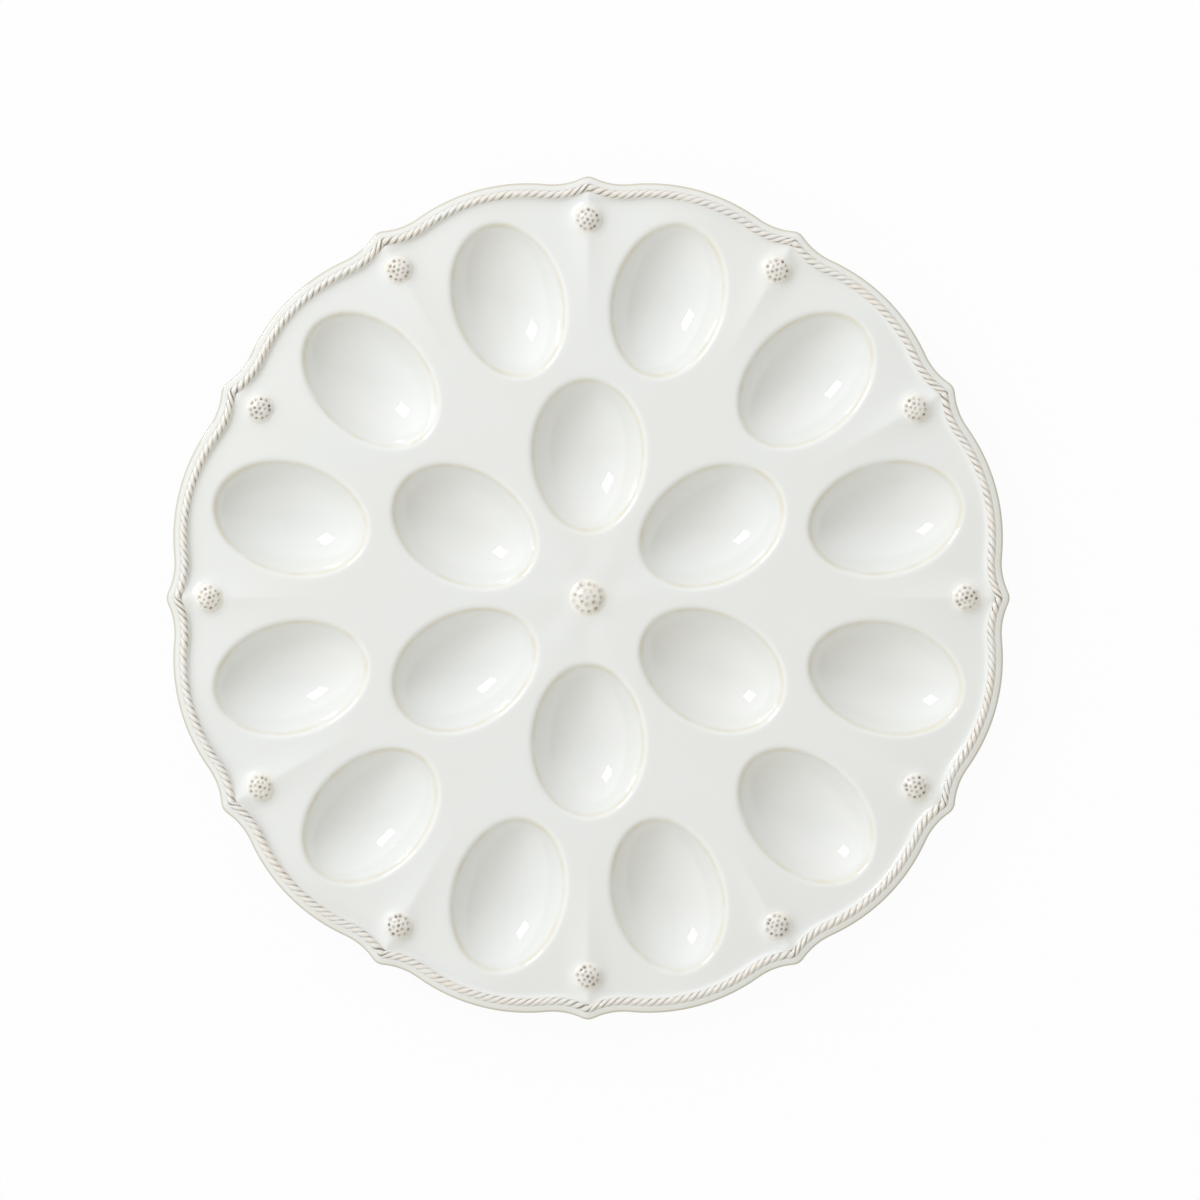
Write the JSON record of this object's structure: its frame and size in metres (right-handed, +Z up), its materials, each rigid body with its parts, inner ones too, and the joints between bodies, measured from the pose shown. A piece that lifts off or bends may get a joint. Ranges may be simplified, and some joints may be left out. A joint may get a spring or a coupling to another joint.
{
  "type": "deviled egg platter",
  "caption": "Round scalloped stoneware serving platter with egg-shaped wells, a rope-twist rim and stippled berry bosses on a foot ring.",
  "frame": {"origin": "on the table, under the middle of the platter", "axes": "+Z up out of the wells; +X through a cusp of the rim, midway between two outer wells"},
  "size_m": [0.343, 0.343, 0.0252],
  "materials": {
    "white_glaze": "gloss",
    "stained_rope_glaze": "gloss",
    "stained_berry_glaze": "gloss",
    "bare_stoneware": "matt"
  },
  "bodies": {
    "root": {"deck": "white_glaze", "foot_ring": "bare_stoneware", "centre_berry": "stained_berry_glaze", "outer_egg_cup_01": "white_glaze", "outer_egg_cup_02": "white_glaze", "outer_egg_cup_03": "white_glaze", "outer_egg_cup_04": "white_glaze", "outer_egg_cup_05": "white_glaze", "outer_egg_cup_06": "white_glaze", "outer_egg_cup_07": "white_glaze", "outer_egg_cup_08": "white_glaze", "outer_egg_cup_09": "white_glaze", "outer_egg_cup_10": "white_glaze", "outer_egg_cup_11": "white_glaze", "outer_egg_cup_12": "white_glaze", "inner_egg_cup_01": "white_glaze", "inner_egg_cup_02": "white_glaze", "inner_egg_cup_03": "white_glaze", "inner_egg_cup_04": "white_glaze", "inner_egg_cup_05": "white_glaze", "inner_egg_cup_06": "white_glaze", "rope_trim_01": "stained_rope_glaze", "rope_trim_02": "stained_rope_glaze", "rope_trim_03": "stained_rope_glaze", "rope_trim_04": "stained_rope_glaze", "rope_trim_05": "stained_rope_glaze", "rope_trim_06": "stained_rope_glaze", "rope_trim_07": "stained_rope_glaze", "rope_trim_08": "stained_rope_glaze", "rope_trim_09": "stained_rope_glaze", "rope_trim_10": "stained_rope_glaze", "rope_trim_11": "stained_rope_glaze", "rope_trim_12": "stained_rope_glaze", "rim_berry_01": "stained_berry_glaze", "rim_berry_02": "stained_berry_glaze", "rim_berry_03": "stained_berry_glaze", "rim_berry_04": "stained_berry_glaze", "rim_berry_05": "stained_berry_glaze", "rim_berry_06": "stained_berry_glaze", "rim_berry_07": "stained_berry_glaze", "rim_berry_08": "stained_berry_glaze", "rim_berry_09": "stained_berry_glaze", "rim_berry_10": "stained_berry_glaze", "rim_berry_11": "stained_berry_glaze", "rim_berry_12": "stained_berry_glaze"}
  },
  "joints": []
}
